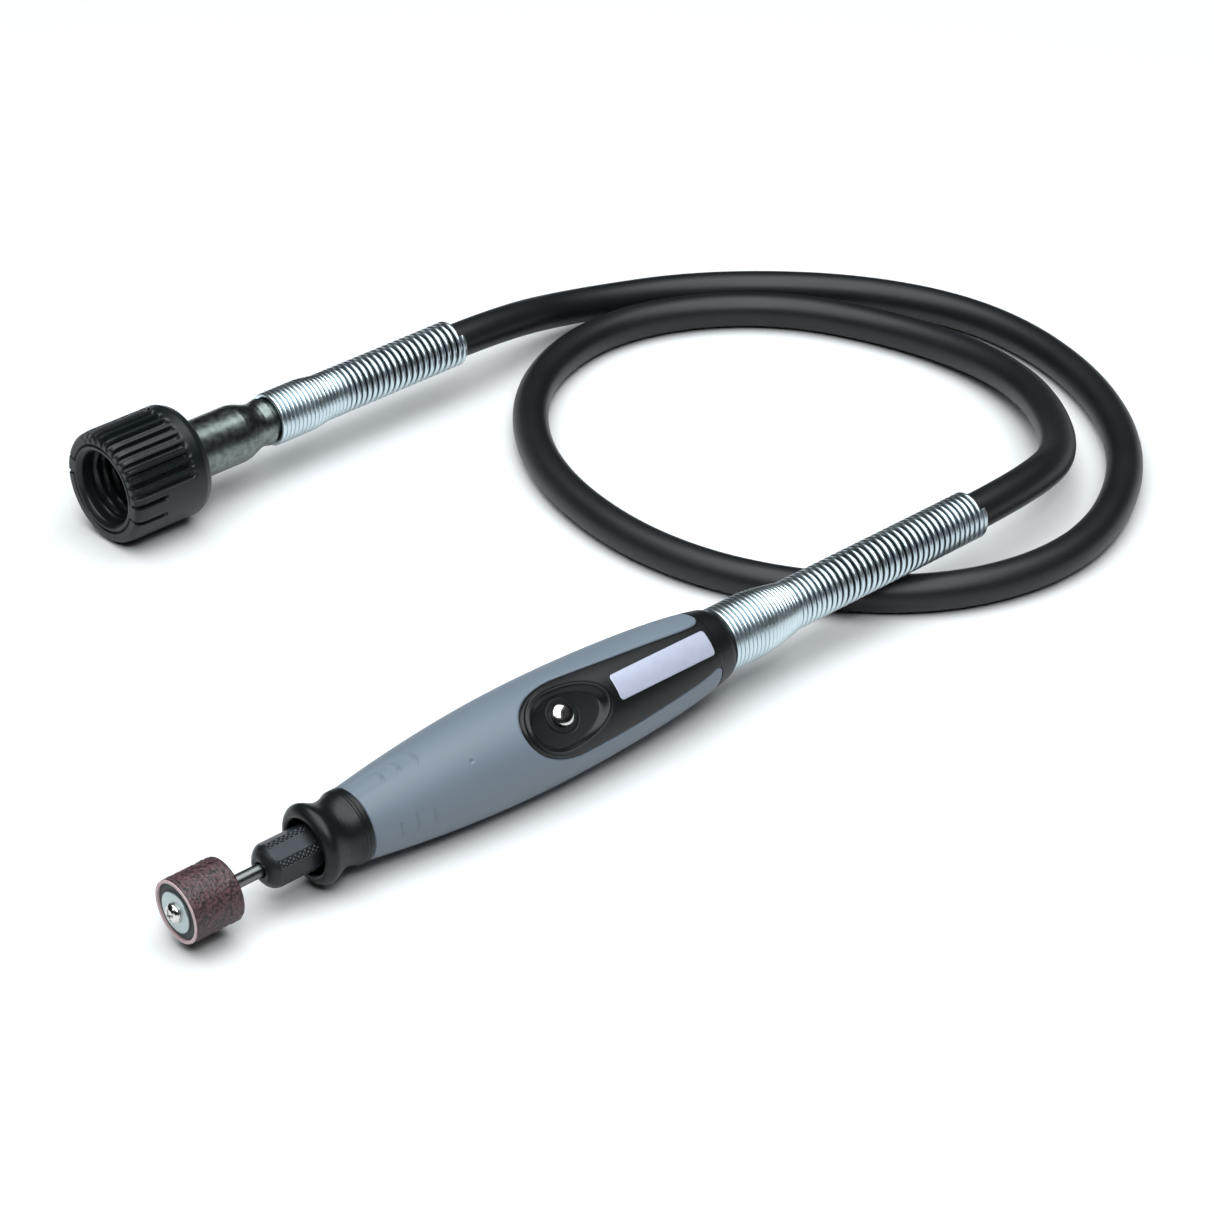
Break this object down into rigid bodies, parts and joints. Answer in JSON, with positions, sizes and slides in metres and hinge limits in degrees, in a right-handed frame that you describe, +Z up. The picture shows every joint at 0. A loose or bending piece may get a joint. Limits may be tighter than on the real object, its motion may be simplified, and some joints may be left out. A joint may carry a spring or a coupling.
{
  "type": "flexible shaft for rotary tool",
  "caption": "Flexible shaft with a pencil-shaped handpiece, keyed chuck and sanding drum at one end and a threaded nut for the motor at the other.",
  "frame": {"origin": "On the bench, below the middle of the box round the handpiece and the motor coupling, without the free hose", "axes": "+X from the sanding drum to the rear of the handpiece, along its plan direction; +Z up from the bench"},
  "size_m": [0.3374, 0.1869, 0.03],
  "materials": {
    "black_moulding": "satin moulded",
    "nut_moulding": "satin moulded, ribbed",
    "grip_rubber": "soft-touch matte",
    "label_plate": "satin anodised",
    "polished_steel": "polished",
    "spring_wire": "bright zinc",
    "machined_steel": "turned",
    "dark_steel": "ground",
    "black_oxide": "black oxide, knurled",
    "drum_rubber": "matte",
    "zinc_washer": "zinc plated",
    "abrasive": "coated abrasive grit on fibre",
    "core_wire": "wound wire, greased",
    "hose_rubber": "satin",
    "bearing_steel": "ground",
    "zinc_plated": "zinc plated",
    "bronze": "sintered"
  },
  "bodies": {
    "root": {"housing": "black_moulding", "soft_grip": "grip_rubber", "nose_cap": "black_moulding", "label_plate": "label_plate", "button_bush": "black_moulding", "lock_spring": "spring_wire", "hose_socket": "machined_steel", "hose_ferrule": "machined_steel", "bearing_clip": "spring_wire", "preload_washer": "spring_wire", "front_spring": "spring_wire", "front_bearing_outer": "bearing_steel", "rear_bearing_outer": "bearing_steel", "hose_handpiece_end": "hose_rubber", "hose_sheath": "hose_rubber", "flex_core": "core_wire", "hose_motor_end": "hose_rubber", "motor_spring": "spring_wire", "ferrule": "zinc_plated", "drive_bush": "bronze"},
    "spindle": {"spindle": "machined_steel", "lock_collar": "machined_steel", "collet": "machined_steel", "front_bearing_inner": "bearing_steel", "rear_bearing_inner": "bearing_steel", "core_front_tip": "machined_steel", "core_handpiece_end": "core_wire"},
    "bearing_balls": {"front_bearing_balls": "bearing_steel", "rear_bearing_balls": "bearing_steel"},
    "lock_button": {"lock_button": "polished_steel"},
    "chuck_nut": {"chuck_nut": "black_oxide"},
    "mandrel": {"mandrel_shank": "dark_steel", "rubber_drum": "drum_rubber", "drum_washers": "zinc_washer"},
    "drum_screw": {"drum_screw": "polished_steel"},
    "sanding_band": {"sanding_band": "abrasive"},
    "drive_tip": {"drive_tip": "machined_steel", "core_motor_end": "core_wire"},
    "nut_slide": {"thrust_washer": "machined_steel"},
    "coupling_nut": {"coupling_nut": "nut_moulding"}
  },
  "joints": [
    {"name": "spindle_spin", "type": "hinge", "parent": "root", "child": "spindle", "pos_m": [-0.03522, -0.077, 0.01253], "axis": [0.9996, 0, 0.0284], "continuous": true},
    {"name": "bearing_roll", "type": "hinge", "parent": "root", "child": "bearing_balls", "pos_m": [-0.03522, -0.077, 0.01253], "axis": [0.9996, 0, 0.0284], "continuous": true},
    {"name": "drive_tip_spin", "type": "hinge", "parent": "root", "child": "drive_tip", "pos_m": [-0.00312, 0.07515, 0.015], "axis": [0.9994, 0.0349, 0], "continuous": true},
    {"name": "lock_press", "type": "slide", "parent": "root", "child": "lock_button", "axis": [0.0201, 0.7071, -0.7068], "range_m": [0, 0.0015], "stiffness_N_per_m": 800, "springref_m": -0.001, "deforming": ["lock_spring"]},
    {"name": "chuck_nut_turn", "type": "hinge", "parent": "spindle", "child": "chuck_nut", "pos_m": [-0.0912, -0.077, 0.01094], "axis": [0.9996, 0, 0.0284], "range_deg": [0, 180]},
    {"name": "mandrel_pull", "type": "slide", "parent": "spindle", "child": "mandrel", "axis": [-0.9996, 0, -0.0284], "range_m": [0, 0.03]},
    {"name": "screw_turn", "type": "hinge", "parent": "mandrel", "child": "drum_screw", "pos_m": [-0.11919, -0.077, 0.01014], "axis": [0.9996, 0, 0.0284], "range_deg": [0, 720]},
    {"name": "band_slide", "type": "slide", "parent": "mandrel", "child": "sanding_band", "axis": [-0.9996, 0, -0.0284], "range_m": [0, 0.014]},
    {"name": "nut_slide_back", "type": "slide", "parent": "root", "child": "nut_slide", "axis": [0.9994, 0.0349, 0], "range_m": [0, 0.012]},
    {"name": "coupling_nut_spin", "type": "hinge", "parent": "nut_slide", "child": "coupling_nut", "pos_m": [-0.01911, 0.07459, 0.015], "axis": [0.9994, 0.0349, 0], "continuous": true}
  ],
  "couplings": [
    {"joint": "bearing_roll", "follows": "spindle_spin", "ratio": 0.417},
    {"joint": "drive_tip_spin", "follows": "spindle_spin", "ratio": 1}
  ]
}
